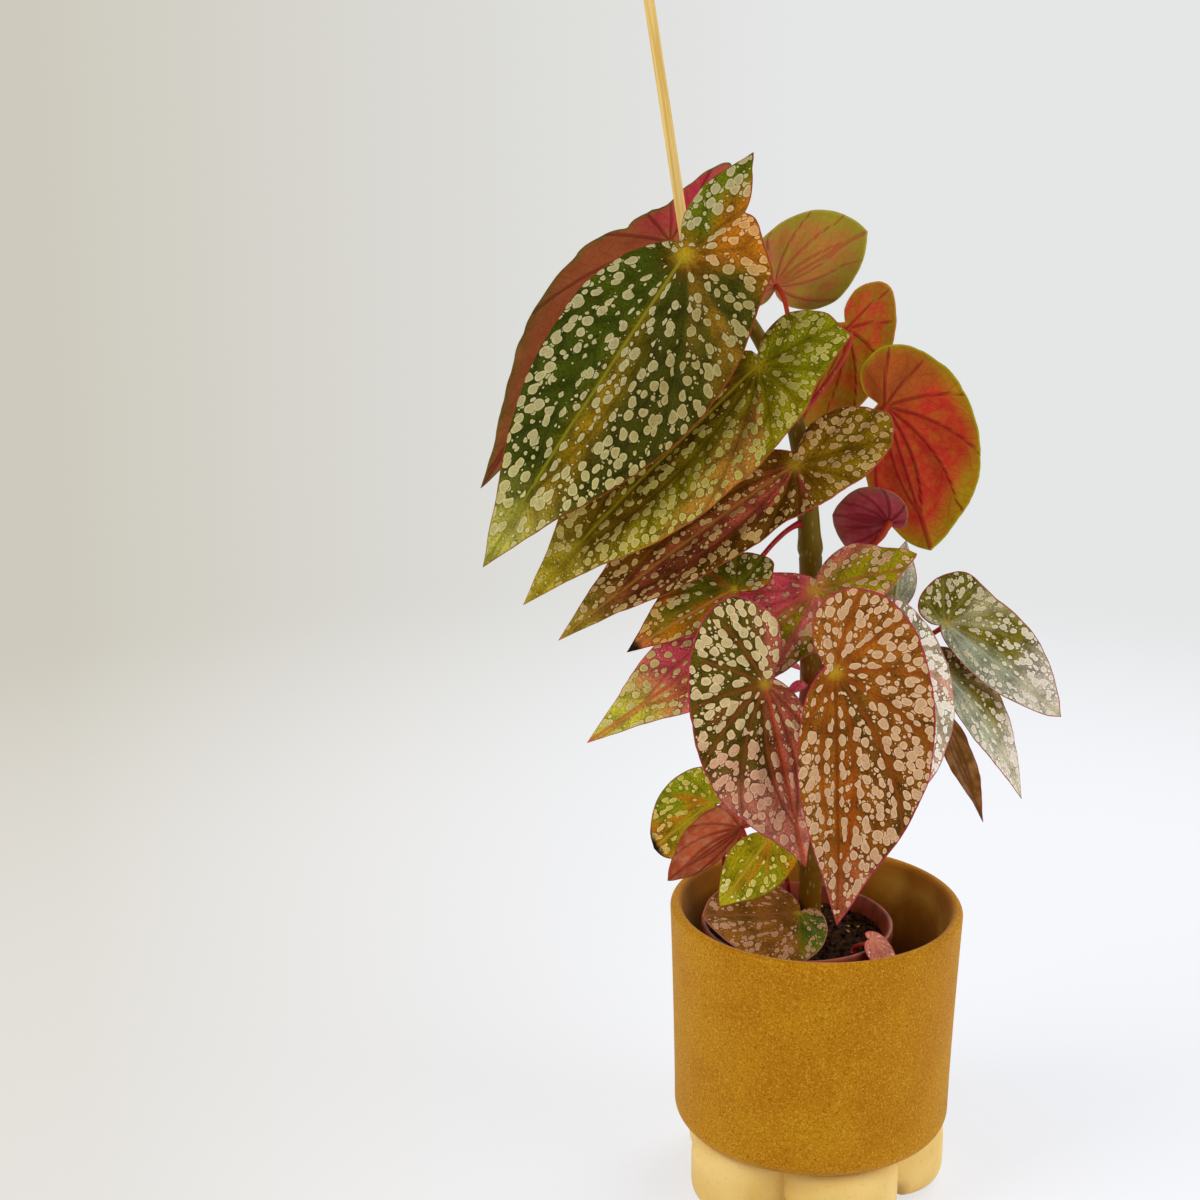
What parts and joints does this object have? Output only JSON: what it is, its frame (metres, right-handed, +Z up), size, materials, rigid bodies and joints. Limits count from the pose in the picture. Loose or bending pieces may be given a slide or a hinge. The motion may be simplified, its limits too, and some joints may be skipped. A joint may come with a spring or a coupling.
{
  "type": "potted begonia",
  "caption": "Angel-wing begonia with spotted leaves on a staked cane, in a nursery pot inside a stoneware cover pot on a lobed ceramic stand.",
  "frame": {"origin": "centre of the stand's flat underside, under the axis of the cover pot", "axes": "+Z up along the cover pot's axis, -Y towards the front, +X to the right seen from the front"},
  "size_m": [0.27, 0.158, 0.6404],
  "materials": {
    "leaf": "satin living leaf with pale spots",
    "petiole": "satin",
    "cane": "satin",
    "stake": "dry bare wood",
    "soil": "crumbly and matte",
    "nursery_plastic": "satin moulded plastic",
    "stoneware": "matte speckled stoneware",
    "stand": "smooth matte ceramic"
  },
  "bodies": {
    "root": {"stand": "stand", "cover_pot": "stoneware", "nursery_pot": "nursery_plastic", "soil": "soil", "cane": "cane", "stake": "stake", "leaf_top_front": "leaf", "petiole_top_front": "petiole", "leaf_top_back": "leaf", "petiole_top_back": "petiole", "leaf_upper_front": "leaf", "petiole_upper_front": "petiole", "leaf_middle_front": "leaf", "petiole_middle_front": "petiole", "leaf_small_left": "leaf", "petiole_small_left": "petiole", "leaf_low_left": "leaf", "petiole_low_left": "petiole", "leaf_front_left": "leaf", "petiole_front_left": "petiole", "leaf_front_right": "leaf", "petiole_front_right": "petiole", "leaf_behind_front": "leaf", "petiole_behind_front": "petiole", "leaf_right": "leaf", "petiole_right": "petiole", "leaf_right_hanging": "leaf", "petiole_right_hanging": "petiole", "leaf_right_lower": "leaf", "petiole_right_lower": "petiole", "leaf_small_right": "leaf", "petiole_small_right": "petiole", "leaf_top_right": "leaf", "petiole_top_right": "petiole", "leaf_upper_right": "leaf", "petiole_upper_right": "petiole", "leaf_back_right": "leaf", "petiole_back_right": "petiole", "leaf_back_small": "leaf", "petiole_back_small": "petiole", "leaf_base_left": "leaf", "petiole_base_left": "petiole", "leaf_base_folded": "leaf", "petiole_base_folded": "petiole", "leaf_base_far_left": "leaf", "petiole_base_far_left": "petiole", "leaf_on_soil": "leaf", "petiole_on_soil": "petiole", "leaf_seedling": "leaf", "petiole_seedling": "petiole", "stipule_upper": "leaf", "stipule_lower": "leaf"}
  },
  "joints": []
}
